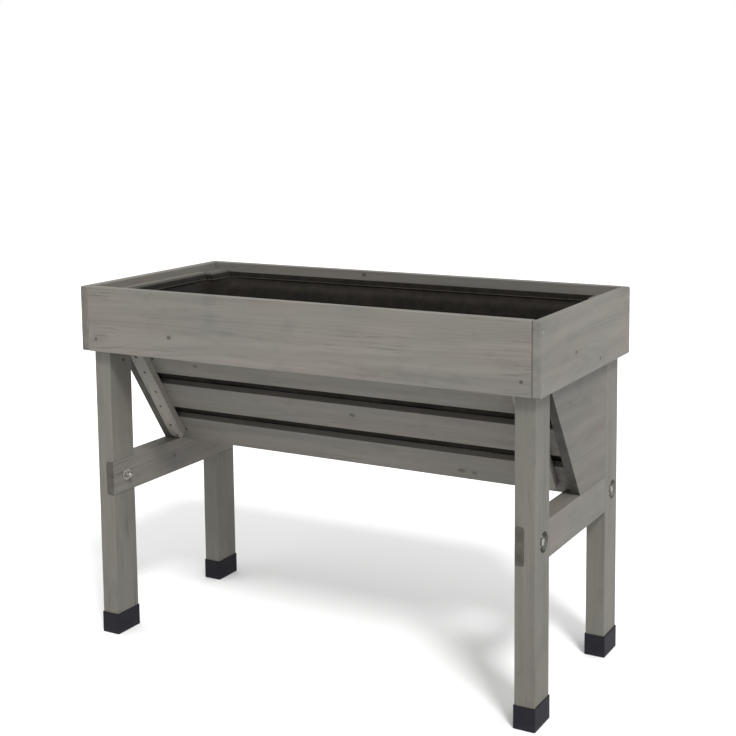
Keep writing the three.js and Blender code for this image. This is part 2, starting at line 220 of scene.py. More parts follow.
swell = maths(tree, "MULTIPLY", fade, maths(tree, "MULTIPLY", knot_in["Radius"], 1.9))
tree.links.new(swell, knot_out["Swell"])

# Where the branches were: one place in each patch of the log, with a knot in some of them.
branch_group, branch_in, branch_out = new_group(
    "branch_places",
    [("Log", "Vector", None), ("Share", "Float", 0.4)],
    [("Centre", "Vector"), ("Radius", "Float")],
)
PATCH = (0.26, 0.075, 1.0)
SMALLEST_KNOT, LARGEST_KNOT, NO_KNOT = 0.0018, 0.0046, 0.00001
tree = branch_group
at = vector_maths(tree, "DIVIDE", branch_in["Log"], PATCH)
cell = node(tree, "ShaderNodeTexVoronoi", {"Vector": at, "Scale": 1.0}, voronoi_dimensions="2D")
tree.links.new(vector_maths(tree, "MULTIPLY", cell.outputs["Position"], PATCH), branch_out["Centre"])
lot = node(tree, "ShaderNodeSeparateColor", {0: cell.outputs["Color"]}).outputs
chosen = maths(tree, "LESS_THAN", lot["Red"], branch_in["Share"])
size = ramp(tree, lot["Green"], 0.0, 1.0, SMALLEST_KNOT, LARGEST_KNOT)
size = maths(tree, "MAXIMUM", maths(tree, "MULTIPLY", chosen, size), NO_KNOT)
tree.links.new(size, branch_out["Radius"])

# Growth rings round the pith of the log, wandering a little, with fibres and long streaks,
# and dark resin dashes in patches, most of them near the ends of a board.
grain_group, grain_in, grain_out = new_group(
    "softwood_grain",
    [("Log", "Vector", None), ("Swell", "Float", 0.0), ("From End", "Float", 1.0)],
    [("Late", "Float"), ("Fibre", "Float"), ("Streak", "Float"), ("Dash", "Float")],
)
RING = 0.0034
WANDER = (0, 0.03, 0.03)
tree, log = grain_group, grain_in["Log"]
wander = stretch_noise(tree, log, (1.3, 8, 8)).outputs["Color"]
wander = vector_maths(tree, "SUBTRACT", wander, (0.5, 0.5, 0.5))
wander = vector_maths(tree, "MULTIPLY", wander, WANDER)
from_pith = vector_maths(tree, "MULTIPLY", vector_maths(tree, "ADD", log, wander), (0, 1, 1))
from_pith = maths(tree, "ADD", length_of(tree, from_pith), grain_in["Swell"])
years = maths(tree, "DIVIDE", from_pith, RING)
season = maths(tree, "FRACT", years)
which = maths(tree, "MULTIPLY", maths(tree, "FLOOR", years), 0.37)
growth = node(tree, "ShaderNodeTexNoise", {"W": which, "Scale": 1.0}, noise_dimensions="1D")
late = maths(tree, "MULTIPLY", ramp(tree, season, 0.45, 0.92), ramp(tree, season, 1.0, 0.94))
late = maths(tree, "MULTIPLY", late, ramp(tree, growth.outputs["Fac"], 0.3, 0.7, 0.25, 1.0))
tree.links.new(late, grain_out["Late"])
fibre = stretch_noise(tree, log, (22, 900, 900), 3.0, 0.6).outputs["Fac"]
tree.links.new(fibre, grain_out["Fibre"])
streak = stretch_noise(tree, log, (2.0, 55, 55), 3.0).outputs["Fac"]
tree.links.new(streak, grain_out["Streak"])
dash = stretch_noise(tree, log, (10, 300, 300), 2.0).outputs["Fac"]
resin = stretch_noise(tree, log, (3.0, 12, 12), 1.0).outputs["Fac"]
resin = maths(tree, "ADD", resin, ramp(tree, grain_in["From End"], 0.10, 0.01, 0.0, 0.16))
dash = maths(tree, "MULTIPLY", ramp(tree, dash, 0.58, 0.68), ramp(tree, resin, 0.52, 0.66))
tree.links.new(dash, grain_out["Dash"])

# The wash itself: warm and cool patches, brushed lighter and darker, over all of the above.
wash_group, wash_in, wash_out = new_group(
    "grey_wash",
    [
        ("Log", "Vector", None), ("Late", "Float", 0.0), ("Fibre", "Float", 0.5),
        ("Streak", "Float", 0.5), ("Dash", "Float", 0.0), ("Core", "Float", 0.0),
        ("Rim", "Float", 0.0), ("Arris", "Float", 0.0), ("End Grain", "Float", 0.0),
        ("Tone", "Float", 1.0), ("Warm", "Color", None), ("Cool", "Color", None),
    ],
    [("Colour", "Color"), ("Roughness", "Float"), ("Height", "Float")],
)
RUBBED_AND_HIGHLIT, CORE, RIM = shade(176, 172, 160), shade(74, 68, 60), shade(60, 54, 47)
tree, log = wash_group, wash_in["Log"]
patches = stretch_noise(tree, log, (4.0, 13, 13), 2.0).outputs["Fac"]
wash = blend_colours(tree, ramp(tree, patches, 0.38, 0.62), wash_in["Cool"], wash_in["Warm"])
brushed = stretch_noise(tree, log, (3.0, 30, 30), 4.0, 0.6).outputs["Fac"]
blotch = stretch_noise(tree, log, (13, 24, 24), 3.0, 0.55).outputs["Fac"]
on_face = maths(tree, "SUBTRACT", 1.0, wash_in["End Grain"])
value = 1.0
for amount, effect in (
    (0.45, maths(tree, "SUBTRACT", brushed, 0.5)),
    (0.35, maths(tree, "SUBTRACT", wash_in["Streak"], 0.5)),
    (-0.10, wash_in["Late"]),
    (0.16, maths(tree, "SUBTRACT", wash_in["Fibre"], 0.5)),
    (-0.24, maths(tree, "MULTIPLY", wash_in["Dash"], on_face)),
    (-0.075, ramp(tree, blotch, 0.54, 0.66)),
    (-0.45, wash_in["End Grain"]),
):
    value = maths(tree, "MULTIPLY_ADD", effect, amount, value)
value = maths(tree, "MULTIPLY", value, wash_in["Tone"])
washed = node(tree, "ShaderNodeVectorMath", {0: wash, "Scale": value}, operation="SCALE").outputs[0]
# Paler colour on the eased arrises: partly wash rubbed off, partly a painted highlight, strongest
# where the arris faces upward.
rubbed_and_highlit = stretch_noise(tree, log, (35, 60, 60), 3.0, 0.6).outputs["Fac"]
rubbed_and_highlit = maths(tree, "MULTIPLY", ramp(tree, rubbed_and_highlit, 0.35, 0.65, 0.15, 0.7), wash_in["Arris"])
washed = blend_colours(tree, rubbed_and_highlit, washed, RUBBED_AND_HIGHLIT)
washed = blend_colours(tree, maths(tree, "MULTIPLY", wash_in["Core"], 0.85), washed, CORE)
washed = blend_colours(tree, maths(tree, "MULTIPLY", wash_in["Rim"], 0.6), washed, RIM)
tree.links.new(washed, wash_out["Colour"])
rough = maths(tree, "MULTIPLY_ADD", wash_in["Fibre"], 0.16, 0.6)
rough = maths(tree, "MULTIPLY_ADD", wash_in["End Grain"], 0.15, rough)
tree.links.new(rough, wash_out["Roughness"])
height = maths(tree, "MULTIPLY_ADD", wash_in["Late"], 0.5, wash_in["Fibre"])
height = maths(tree, "MULTIPLY_ADD", wash_in["Dash"], -0.8, height)
height = maths(tree, "MULTIPLY_ADD", wash_in["Rim"], -1.2, height)
tree.links.new(height, wash_out["Height"])


def washed_timber(name, warm, cool, share=0.0, knots=(), dashes=1.0):
    """Washed softwood. share is how many of the log's branches show, and dashes how dark its
    resin streaks are; knots are (along the grain, across it, radius) from the board's middle."""
    material, tree, shader = new_material(name)
    place, log, arris, end_grain, tone, half = (
        node(tree, "ShaderNodeAttribute", attribute_name=label).outputs
        for label in ("timber", "log", "arris", "end_grain", "tone", "half_length")
    )
    sets = [
        {"Place": place["Vector"], "Centre": (along, across, 0), "Radius": radius}
        for along, across, radius in knots
    ]
    if share:
        branch = use_group(tree, branch_group, {"Log": log["Vector"], "Share": share})
        centre, radius = branch["Centre"], branch["Radius"]
        sets.append({"Place": log["Vector"], "Centre": centre, "Radius": radius})
    total = {"Core": 0.0, "Rim": 0.0, "Swell": 0.0}
    for inputs in sets:
        knot = use_group(tree, knot_group, inputs)
        for label in total:
            total[label] = maths(tree, "ADD", total[label], knot[label])
    along = node(tree, "ShaderNodeSeparateXYZ", {0: place["Vector"]}).outputs["X"]
    from_end = maths(tree, "SUBTRACT", half["Fac"], maths(tree, "ABSOLUTE", along))
    inputs = {"Log": log["Vector"], "Swell": total["Swell"], "From End": from_end}
    grain = use_group(tree, grain_group, inputs)
    inputs = {
        "Log": log["Vector"], "Core": total["Core"], "Rim": total["Rim"], "Arris": arris["Fac"],
        "End Grain": end_grain["Fac"], "Tone": tone["Fac"], "Warm": warm, "Cool": cool,
    }
    inputs.update({label: grain[label] for label in ("Late", "Fibre", "Streak")})
    inputs["Dash"] = maths(tree, "MULTIPLY", grain["Dash"], dashes)
    wash = use_group(tree, wash_group, inputs)
    tree.links.new(wash["Colour"], shader.inputs["Base Color"])
    tree.links.new(wash["Roughness"], shader.inputs["Roughness"])
    roughen(tree, shader, wash["Height"], 0.35, 0.0005)
    shader.inputs["Specular IOR Level"].default_value = 0.35
    return material


COPLANAR = math.radians(0.5)
SHARP = math.radians(38)
WELD = 0.00001
SHORTEST_ARRIS = 0.012
ACROSS_THE_GRAIN = 0.8
chance = random.Random(7)


def welded_copy(name):
    """The mesh of a CAD solid with its triangles joined into whole faces."""
    bm = bmesh.new()
    bm.from_mesh(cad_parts[name].data)
    bmesh.ops.remove_doubles(bm, verts=bm.verts, dist=WELD)
    bmesh.ops.dissolve_limit(bm, angle_limit=COPLANAR, verts=bm.verts, edges=bm.edges)
    return bm


def sharp_edges(bm):
    return [e for e in bm.edges if len(e.link_faces) == 2 and e.calc_face_angle(0) > SHARP]


def smooth_mesh(name, bm, crease):
    """The finished mesh, shaded smooth but for the edges that turn more than the crease."""
    for face in bm.faces:
        face.smooth = True
    mesh = bpy.data.meshes.new(name)
    bm.to_mesh(mesh)
    bm.free()
    mesh.set_sharp_from_angle(angle=crease)
    return mesh


def shade_flat_faces(piece, weight):
    """Large faces keep their own normals, and only the eased edges curve the light."""
    even = piece.modifiers.new("even_faces", "WEIGHTED_NORMAL")
    even.keep_sharp = True
    even.weight = weight


def finish_piece(piece, slot, *nodes):
    """The piece rides on the planter, and stands for those CAD nodes."""
    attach(piece, "root")
    if nodes:
        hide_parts(*nodes)


def timber_piece(name, along, across, ease, material, slot, tone=1.0, sawn=1.0):
    """A timber from its CAD solid: its arrises eased, and with its own place in the log.
    tone is how light its wash is, and sawn how dark its cut ends have stayed."""
    along, across = Vector(along), Vector(across)
    through = along.cross(across)
    low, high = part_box(name)
    middle = (low + high) / 2
    bm = welded_copy(name)
    arrises = [e for e in sharp_edges(bm) if e.calc_length() > SHORTEST_ARRIS]
    eased = bmesh.ops.bevel(
        bm, geom=arrises, offset=ease, segments=3, profile=0.5, affect="EDGES", clamp_overlap=True
    )["faces"]
    bmesh.ops.recalc_face_normals(bm, faces=bm.faces)
    pith = Vector((chance.uniform(-4, 4), chance.uniform(0.02, 0.09), chance.uniform(0.03, 0.10)))
    lean = Vector((0, chance.uniform(-0.03, 0.03), chance.uniform(-0.03, 0.03)))
    timber_layer = bm.verts.layers.float_vector.new("timber")
    log_layer = bm.verts.layers.float_vector.new("log")
    for vert in bm.verts:
        place = vert.co - middle
        local = Vector((place.dot(along), place.dot(across), place.dot(through)))
        vert[timber_layer] = local
        vert[log_layer] = local + pith + lean * local.x
    arris_layer = bm.faces.layers.float.new("arris")
    end_layer = bm.faces.layers.float.new("end_grain")
    tone_layer = bm.faces.layers.float.new("tone")
    half_layer = bm.faces.layers.float.new("half_length")
    half_length = abs((high - low).dot(along)) / 2
    tone *= chance.uniform(0.97, 1.03)
    for face in bm.faces:
        face[tone_layer] = tone
        face[half_layer] = half_length
        cut_end = abs(face.normal.dot(along)) > ACROSS_THE_GRAIN
        face[end_layer] = sawn if cut_end else 0.0
    # The eased faces take the paler arris colour, and upward-facing ones take more of it: a painted
    # highlight of the light from above.
    for face in eased:
        if face.is_valid:
            face[arris_layer] = 1.0 + 0.6 * max(0.0, face.normal.z)
    mesh = smooth_mesh(name, bm, SHARP)
    mesh.materials.append(material)
    piece = add_object(f"{name}_washed", mesh)
    shade_flat_faces(piece, 100)
    finish_piece(piece, slot, name)


ALONG_X, ALONG_Y, ALONG_Z = (1, 0, 0), (0, 1, 0), (0, 0, 1)
WARM, COOL = shade(111, 106, 100), shade(107, 105, 99)

# ---- Frame boards ----
# Four planed boards screwed and pinned into a box round the top. The end boards run past the
# long ones and show their end grain at the corners, with the arris there rounded over.
front_wash = washed_timber("front_board_wash", WARM, COOL, knots=[(-0.279, -0.023, 0.0033)])
board_wash = washed_timber("board_wash", WARM, COOL, share=0.25)
timber_piece("front_board", ALONG_X, ALONG_Z, 0.0012, front_wash, "box_boards", 1.04)
timber_piece("back_board", ALONG_X, ALONG_Z, 0.0012, board_wash, "box_boards", 1.02)
timber_piece("end_board_left", ALONG_Y, ALONG_Z, 0.003, board_wash, "box_boards", 1.05, 0.6)
timber_piece("end_board_right", ALONG_Y, ALONG_Z, 0.003, board_wash, "box_boards", 1.05, 0.05)

# ---- Legs, side rails and end panels ----
# Each leg is one square-planed post, halved for the thinned end of its rail. The end panels
# stand on the rails between the legs, sawn to the slope of the front.
leg_wash = washed_timber("leg_wash", shade(109, 106, 99), shade(106, 105, 98), share=0.35)
panel_wash = washed_timber("panel_wash", WARM, COOL, share=0.6, dashes=0.35)
four_corners = [(depth, end) for depth in ("front", "back") for end in ("left", "right")]
for depth, end in four_corners:
    timber_piece(f"leg_{depth}_{end}", ALONG_Z, ALONG_Y, 0.0022, leg_wash, "frame_wood", 0.87)
for end in ("left", "right"):
    timber_piece(f"side_rail_{end}", ALONG_Y, ALONG_Z, 0.0024, board_wash, "frame_wood", 0.94, 1.2)
    timber_piece(f"end_panel_{end}", ALONG_Y, ALONG_Z, 0.0012, panel_wash, "frame_wood", 0.79, 1.2)

# ---- Slats, battens and base board ----
# Thin slats make the sloping front and the upright back, nailed to battens near their ends,
# and one board lies on the rails as the base.
slope = math.radians(57)
UP_SLOPE = Vector((0, -math.cos(slope), math.sin(slope)))
slat_wash = washed_timber("slat_wash", WARM, COOL, share=0.3)
front_slat_knots = {
    1: [(0.234, -0.0125, 0.0046), (0.262, -0.0145, 0.0034)],
    2: [(0.028, 0.008, 0.0040)],
    3: [(-0.316, -0.002, 0.0034)],
    4: [(0.120, 0.010, 0.0034)],
}
for i, knots in front_slat_knots.items():
    knotty_wash = washed_timber(f"front_slat_{i}_wash", WARM, COOL, knots=knots)
    timber_piece(f"front_slat_{i}", ALONG_X, UP_SLOPE, 0.0012, knotty_wash, "slats", 0.91)
    timber_piece(f"back_slat_{i}", ALONG_X, ALONG_Z, 0.0012, slat_wash, "slats", 0.95)
for end in ("left", "right"):
    # The front battens' wash is made far lighter than the other timbers' (tone 1.42): painted light
    # that lifts them out of the shade under the box.
    timber_piece(f"front_batten_{end}", UP_SLOPE, ALONG_X, 0.0010, board_wash, "slats", 1.42)
    timber_piece(f"back_batten_{end}", ALONG_Z, ALONG_X, 0.0010, board_wash, "slats", 0.92)
timber_piece("base_board", ALONG_X, ALONG_Y, 0.0012, board_wash, "slats", 0.95)

# ---- Foot caps ----
# Moulded black plastic caps pushed on to the feet, with rounded corners, a fine spark-eroded
# grain and a few pale scuffs where they have been set down.
cap_plastic, tree, shader = new_material("cap_plastic")
here = node(tree, "ShaderNodeTexCoord").outputs["Object"]
mottle = stretch_noise(tree, here, (60, 60, 60), 3.0, 0.6).outputs["Fac"]
scuff = stretch_noise(tree, here, (240, 240, 900), 4.0, 0.7).outputs["Fac"]
low_down = ramp(tree, node(tree, "ShaderNodeSeparateXYZ", {0: here}).outputs["Z"], 0.016, 0.0)
scuff = maths(tree, "MULTIPLY", ramp(tree, scuff, 0.52, 0.66), low_down)
moulded = blend_colours(tree, mottle, shade(32, 32, 37), shade(40, 40, 45))
scuffed = blend_colours(tree, maths(tree, "MULTIPLY", scuff, 0.5), moulded, shade(88, 86, 86))
tree.links.new(scuffed, shader.inputs["Base Color"])
shader.inputs["Specular IOR Level"].default_value = 0.08
tree.links.new(ramp(tree, mottle, 0.3, 0.7, 0.5, 0.62), shader.inputs["Roughness"])
spark_grain = stretch_noise(tree, here, (1400, 1400, 1400), 1.0).outputs["Fac"]
roughen(tree, shader, spark_grain, 0.3, 0.0002)

CAP_CORNER = 0.0022
CAP_EDGE = 0.0007


def is_outer_corner(edge, low, high):
    """An upright edge on the outside of the cap, not one inside its socket."""
    upright = abs((edge.verts[0].co - edge.verts[1].co).normalized().z) > 0.9
    x = edge.verts[0].co.x
    return upright and min(abs(x - low.x), abs(x - high.x)) < 10 * WELD


for depth, end in four_corners:
    name = f"foot_cap_{depth}_{end}"
    bm = welded_copy(name)
    corners = [e for e in bm.edges if is_outer_corner(e, *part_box(name))]
    bmesh.ops.bevel(bm, geom=corners, offset=CAP_CORNER, segments=4, profile=0.5, affect="EDGES")
    bmesh.ops.bevel(bm, geom=sharp_edges(bm), offset=CAP_EDGE, segments=2, profile=0.5, affect="EDGES")
    mesh = smooth_mesh(name, bm, SHARP)
    mesh.materials.append(cap_plastic)
    cap = add_object(f"{name}_moulded", mesh)
    shade_flat_faces(cap, 50)
    finish_piece(cap, "foot_caps", name)

# ---- Bolts, washers and cap nuts ----
# A zinc-plated hexagon bolt through each leg and rail, its head sunk in the outer face on a
# round washer, closed on the inside with a second washer and a domed nut.
TURNED_SIDES = 24
TURNED_CREASE = math.radians(28)
DULLED = 0.18


def metal(name, light, dark, roughness):
    """Plated or bare steel with a faint spangle, fine scratches and dulled patches."""
    material, tree, shader = new_material(name)
    shader.inputs["Metallic"].default_value = 0.85
    here = node(tree, "ShaderNodeTexCoord").outputs["Object"]
    spangle = stretch_noise(tree, here, (500, 500, 500), 2.0).outputs["Fac"]
    spangled = blend_colours(tree, ramp(tree, spangle, 0.35, 0.65), dark, light)
    tree.links.new(spangled, shader.inputs["Base Color"])
    dulled = stretch_noise(tree, here, (180, 180, 180), 3.0).outputs["Fac"]
    dulled = ramp(tree, dulled, 0.3, 0.7, roughness, roughness + DULLED)
    tree.links.new(dulled, shader.inputs["Roughness"])
    scratches = stretch_noise(tree, here, (400, 3000, 2500), 2.0).outputs["Fac"]
    roughen(tree, shader, scratches, 0.25, 0.0001)
    return material


def circle(radius, z, sides=TURNED_SIDES):
    """A ring of points; radius is a number or a function of the angle."""
    angles = [2 * math.pi * i / sides for i in range(sides)]
    reach = radius if callable(radius) else lambda angle: radius
    return [(reach(a) * math.cos(a), reach(a) * math.sin(a), z) for a in angles]


def skinned(name, rings, closed=False):
    """A closed shell over rings of points: capped at both ends, or run round into itself."""
    bm = bmesh.new()
    loops = [[bm.verts.new(point) for point in ring] for ring in rings]
    pairs = list(zip(loops, loops[1:]))
    if closed:
        pairs.append((loops[-1], loops[0]))
    for lower, upper in pairs:
        for i in range(len(lower)):
            j = (i + 1) % len(lower)
            bm.faces.new((lower[i], lower[j], upper[j], upper[i]))
    if not closed:
        bm.faces.new(loops[0][::-1])
        bm.faces.new(loops[-1])
    bmesh.ops.recalc_face_normals(bm, faces=bm.faces)
    return add_object(name, smooth_mesh(name, bm, TURNED_CREASE))


def hexagon(to_corner):
    """The reach of a hexagon at each angle."""
    to_flat = to_corner * math.cos(math.pi / 6)
    return lambda angle: to_flat / math.cos((angle + math.pi / 6) % (math.pi / 3) - math.pi / 6)


def chamfered(to_corner, inner, z):
    """The top edge of a hexagon's sides, cut back by a shallow cone outside the inner radius."""
    ring = circle(hexagon(to_corner), z)
    return [(x, y, z - 0.5 * max(0.0, math.hypot(x, y) - inner)) for x, y, z in ring]


def geometry_group(name, inputs):
    """A geometry node group that takes a geometry and the named inputs, and gives a geometry."""
    tree = bpy.data.node_groups.new(name, "GeometryNodeTree")
    for label, kind in [("Geometry", "Geometry")] + inputs:
        tree.interface.new_socket(label, in_out="INPUT", socket_type=f"NodeSocket{kind}")
    tree.interface.new_socket("Geometry", in_out="OUTPUT", socket_type="NodeSocketGeometry")
    return tree, tree.nodes.new("NodeGroupInput").outputs


def make_real(tree, instances, material):
    """End a tree: the instances become a mesh in that material."""
    real = node(tree, "GeometryNodeRealizeInstances", {"Geometry": instances}).outputs[0]
    inputs = {"Geometry": real, "Material": material}
    painted = node(tree, "GeometryNodeSetMaterial", inputs).outputs[0]
    tree.links.new(painted, tree.nodes.new("NodeGroupOutput").inputs[0])


# Sets a copy of one fixing on each point, with its head out along "facing" and a random twist.
set_out, given = geometry_group(
    "set_out_fixings",
    [("Fixing", "Object"), ("Finish", "Material"), ("Twist", "Float"), ("Seed", "Int")],
)
tree = set_out
points = node(tree, "GeometryNodeMeshToPoints", {"Mesh": given["Geometry"]}).outputs["Points"]
shape = node(tree, "GeometryNodeObjectInfo", {"Object": given["Fixing"]}).outputs["Geometry"]
facing = node(tree, "GeometryNodeInputNamedAttribute", {"Name": "facing"}, data_type="FLOAT_VECTOR")
aim = node(tree, "FunctionNodeAlignRotationToVector", {"Vector": facing.outputs[0]}, axis="Z")
inputs = {3: given["Twist"], "Seed": given["Seed"]}
twist = node(tree, "FunctionNodeRandomValue", inputs, data_type="FLOAT").outputs[1]
inputs = {"Axis": (0, 0, 1), "Angle": twist}
spin = node(tree, "FunctionNodeAxisAngleToRotation", inputs).outputs[0]
inputs = {"Rotation": aim.outputs[0], "Rotate By": spin}
aimed = node(tree, "FunctionNodeRotateRotation", inputs, rotation_space="LOCAL").outputs[0]
inputs = {"Points": points, "Instance": shape, "Rotation": aimed}
placed = node(tree, "GeometryNodeInstanceOnPoints", inputs).outputs[0]
make_real(tree, placed, given["Finish"])


def from_nodes(name, carrier, group, settings):
    """A plain mesh piece made by a geometry node group on a carrier object, which is removed."""
    modifier = carrier.modifiers.new("made", "NODES")
    modifier.node_group = group
    for socket in group.interface.items_tree:
        if socket.in_out == "INPUT" and socket.name in settings:
            modifier[socket.identifier] = settings[socket.name]
    bpy.context.view_layer.update()
    evaluated = carrier.evaluated_get(bpy.context.evaluated_depsgraph_get())
    mesh = bpy.data.meshes.new_from_object(evaluated)
    mesh.name = name
    bpy.data.objects.remove(carrier)
    return add_object(name, mesh)


def fixings(name, shape, finish, places, twist=2 * math.pi, seed=1):
    """One piece holding a copy of the fixing at each (point, facing)."""
    mesh = bpy.data.meshes.new(name)
    mesh.from_pydata([point for point, facing in places], [], [])
    facings = mesh.attributes.new("facing", "FLOAT_VECTOR", "POINT")
    facings.data.foreach_set("vector", [value for point, facing in places for value in facing])
    settings = {"Fixing": shape, "Finish": finish, "Twist": twist, "Seed": seed}
    piece = from_nodes(name, add_object(f"{name}_points", mesh), set_out, settings)
    bpy.data.objects.remove(shape)
    return piece


def outermost(name, facing):
    """Where a CAD node reaches furthest the way it faces, on its middle line."""
    low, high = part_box(name)
    middle, half = (low + high) / 2, (high - low) / 2
    return middle + Vector([f * h for f, h in zip(facing, half)]), facing


zinc = metal("zinc_plate", shade(168, 166, 158), shade(122, 121, 116), 0.36)
outwards = {"left": (-1, 0, 0), "right": (1, 0, 0)}
inwards = {"left": (1, 0, 0), "right": (-1, 0, 0)}

HEAD = 0.0075
HEAD_HEIGHT = 0.0053
ROUND_FACE = 0.0061
SHANK = 0.0039
bolt_shape = skinned("bolt", [
    circle(0.0036, -0.0384), circle(SHANK, -0.0378), circle(SHANK, -HEAD_HEIGHT),
    circle(hexagon(HEAD), -HEAD_HEIGHT), chamfered(HEAD, ROUND_FACE, 0.0), circle(0.0060, 0.0),
    circle(0.0044, 0.0), circle(0.0040, -0.0003),
])
bolt_places = [outermost(f"bolt_{depth}_{end}", outwards[end]) for depth, end in four_corners]
bolts = fixings("bolts", bolt_shape, zinc, bolt_places)
finish_piece(bolts, "fixings", *[f"bolt_{depth}_{end}" for depth, end in four_corners])

WASHER = 0.0120
WASHER_BACK = -0.0016
for side_name, ways in (("outer", outwards), ("inner", inwards)):
    washer_shape = skinned("washer", [
        circle(0.0044, WASHER_BACK), circle(0.0116, WASHER_BACK), circle(WASHER, -0.0013),
        circle(WASHER, -0.0004), circle(0.0116, 0.0), circle(0.0046, 0.0), circle(0.0043, -0.0003),
    ], closed=True)
    names = [f"washer_{side_name}_{depth}_{end}" for depth, end in four_corners]
    places = [outermost(name, ways[name.rsplit("_", 1)[1]]) for name in names]
    finish_piece(fixings(f"washers_{side_name}", washer_shape, zinc, places), "fixings", *names)

nut_rings = [
    circle(hexagon(HEAD - 0.0004), -0.0120), circle(hexagon(HEAD), -0.0116),
    chamfered(HEAD, ROUND_FACE, -0.0055), circle(0.0058, -0.0054),
]
DOME_STEPS = 6
DOME_REACH, DOME_HEIGHT = 0.0057, 0.0046
for i in range(DOME_STEPS):
    angle = 0.5 * math.pi * i / DOME_STEPS
    nut_rings.append(circle(DOME_REACH * math.cos(angle), DOME_HEIGHT * (math.sin(angle) - 1)))
nut_shape = skinned("cap_nut", nut_rings)
nut_places = [outermost(f"cap_nut_{depth}_{end}", inwards[end]) for depth, end in four_corners]
nuts = fixings("cap_nuts", nut_shape, zinc, nut_places)
finish_piece(nuts, "fixings", *[f"cap_nut_{depth}_{end}" for depth, end in four_corners])

# ---- Screws and pins of the top frame ----
# Countersunk cross-head screws, darkened by the wash that filled their heads, hold the boards
# to the legs and panels. Bright headed pins close the corners.
wash_filled = metal("wash_filled_steel", shade(116, 111, 103), shade(82, 78, 72), 0.55)


def cross(arm, web):
    """The reach of a cross-shaped driver recess at each angle."""
    return lambda angle: arm if math.cos(4 * angle) > 0.9 else web


SCREW_HEAD = 0.0036
SCREW_SHANK = 0.48 * SCREW_HEAD
SCREW_LENGTH = 0.033
SCREW_POINT = 0.006
screw_shape = skinned("screw", [
    circle(0.0004, -SCREW_LENGTH), circle(SCREW_SHANK, SCREW_POINT - SCREW_LENGTH),
    circle(SCREW_SHANK, -0.0026), circle(SCREW_HEAD, -0.0004), circle(0.96 * SCREW_HEAD, 0.0),
    circle(0.66 * SCREW_HEAD, -0.0001),
    circle(cross(0.56 * SCREW_HEAD, 0.24 * SCREW_HEAD), -0.0004),
    circle(cross(0.40 * SCREW_HEAD, 0.18 * SCREW_HEAD), -0.0022),
])
facings = {"front": (0, -1, 0), "back": (0, 1, 0)}
screw_names = [f"screw_leg_{depth}_{end}" for depth, end in four_corners]
screw_places = [outermost(name, facings[name.split("_")[2]]) for name in screw_names]
for end in ("left", "right"):
    screw_names.append(f"screw_panel_{end}")
    screw_places.append(outermost(f"screw_panel_{end}", outwards[end]))
screws = fixings("screws", screw_shape, wash_filled, screw_places, seed=4)
finish_piece(screws, "fixings", *screw_names)

PIN = 0.0010
pin_shape = skinned("pin", [
    circle(0.0003, -0.0449), circle(PIN, -0.0430), circle(PIN, -0.0010), circle(0.0016, -0.0007),
    circle(0.0017, -0.0003), circle(0.0015, 0.0), circle(0.0006, 0.0),
])
pin_names = [f"brad_{depth}_{end}_{place}" for depth, end in four_corners for place in ("low", "high")]
pin_places = [outermost(name, outwards[name.split("_")[2]]) for name in pin_names]
pins = fixings("corner_pins", pin_shape, zinc, pin_places)
finish_piece(pins, "fixings", *pin_names)

# ---- Nails ----
# Flat-headed steel nails, driven home so that only the stained heads show: two through each
# slat at each batten, two in the slat ends beside it, and one in the side of each front leg.
NAIL_INSET = 0.0135
LOWEST_NAIL = 0.009
PROUD = 0.0002
BATTEN_WANDER, BACK_WANDER = 0.004, 0.005
THICKNESS = 0.015
FIRST_SLAT, SLAT_WIDTH, SLAT_PITCH = -0.017, 0.071, 0.101
SLAT_END_NAILS = ((0.016, 0.020), (0.226, 0.023))
LEG_NAIL_Y, LEG_NAIL_Z = -0.170, 0.572
TOE_Y = 0.008
toe = Vector((0, TOE_Y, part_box("side_rail_left")[1].z))
out_of_slope = Vector((0, -math.sin(slope), -math.cos(slope)))
nail_places = []


def nail_in_slope(x, up, depth):
    """A nail at x, that far up the slope from its toe and that deep behind the battens."""
    at = toe + UP_SLOPE * up + out_of_slope * (PROUD - depth)
    at.x = x
    nail_places.append((at, out_of_slope))


for end in ("left", "right"):
    low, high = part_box(f"front_batten_{end}")
    front_x = (low.x + high.x) / 2
    for i in range(3):
        slat_foot = FIRST_SLAT + i * SLAT_PITCH
        for up in (slat_foot + NAIL_INSET, slat_foot + SLAT_WIDTH - NAIL_INSET):
            x = front_x + chance.uniform(-BATTEN_WANDER, BATTEN_WANDER)
            nail_in_slope(x, max(up, LOWEST_NAIL), 0.0)
    low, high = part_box(f"back_batten_{end}")
    back_x = (low.x + high.x) / 2
    for i in range(1, 5):
        low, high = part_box(f"back_slat_{i}")
        for z in (low.z + NAIL_INSET, high.z - NAIL_INSET):
            x = back_x + chance.uniform(-BACK_WANDER, BACK_WANDER)
            nail_places.append((Vector((x, high.y + PROUD, z)), (0, 1, 0)))
    for up, further_in in SLAT_END_NAILS:
        nail_in_slope(front_x + further_in * inwards[end][0], up, THICKNESS)
    low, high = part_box(f"leg_front_{end}")
    inner = high.x + PROUD if end == "left" else low.x - PROUD
    nail_places.append((Vector((inner, LEG_NAIL_Y, LEG_NAIL_Z)), inwards[end]))

NAIL, NAIL_HEAD = 0.0011, 0.0030
nail_shape = skinned("nail", [
    circle(0.0003, -0.0240), circle(NAIL, -0.0225), circle(NAIL, -0.0008), circle(0.0028, -0.0006),
    circle(NAIL_HEAD, -0.0003), circle(0.0027, 0.0), circle(0.0010, 0.0001),
])
stained = metal("stained_steel", shade(66, 62, 57), shade(40, 38, 35), 0.6)
nails = fixings("nails", nail_shape, stained, nail_places, seed=9)
finish_piece(nails, "fixings")

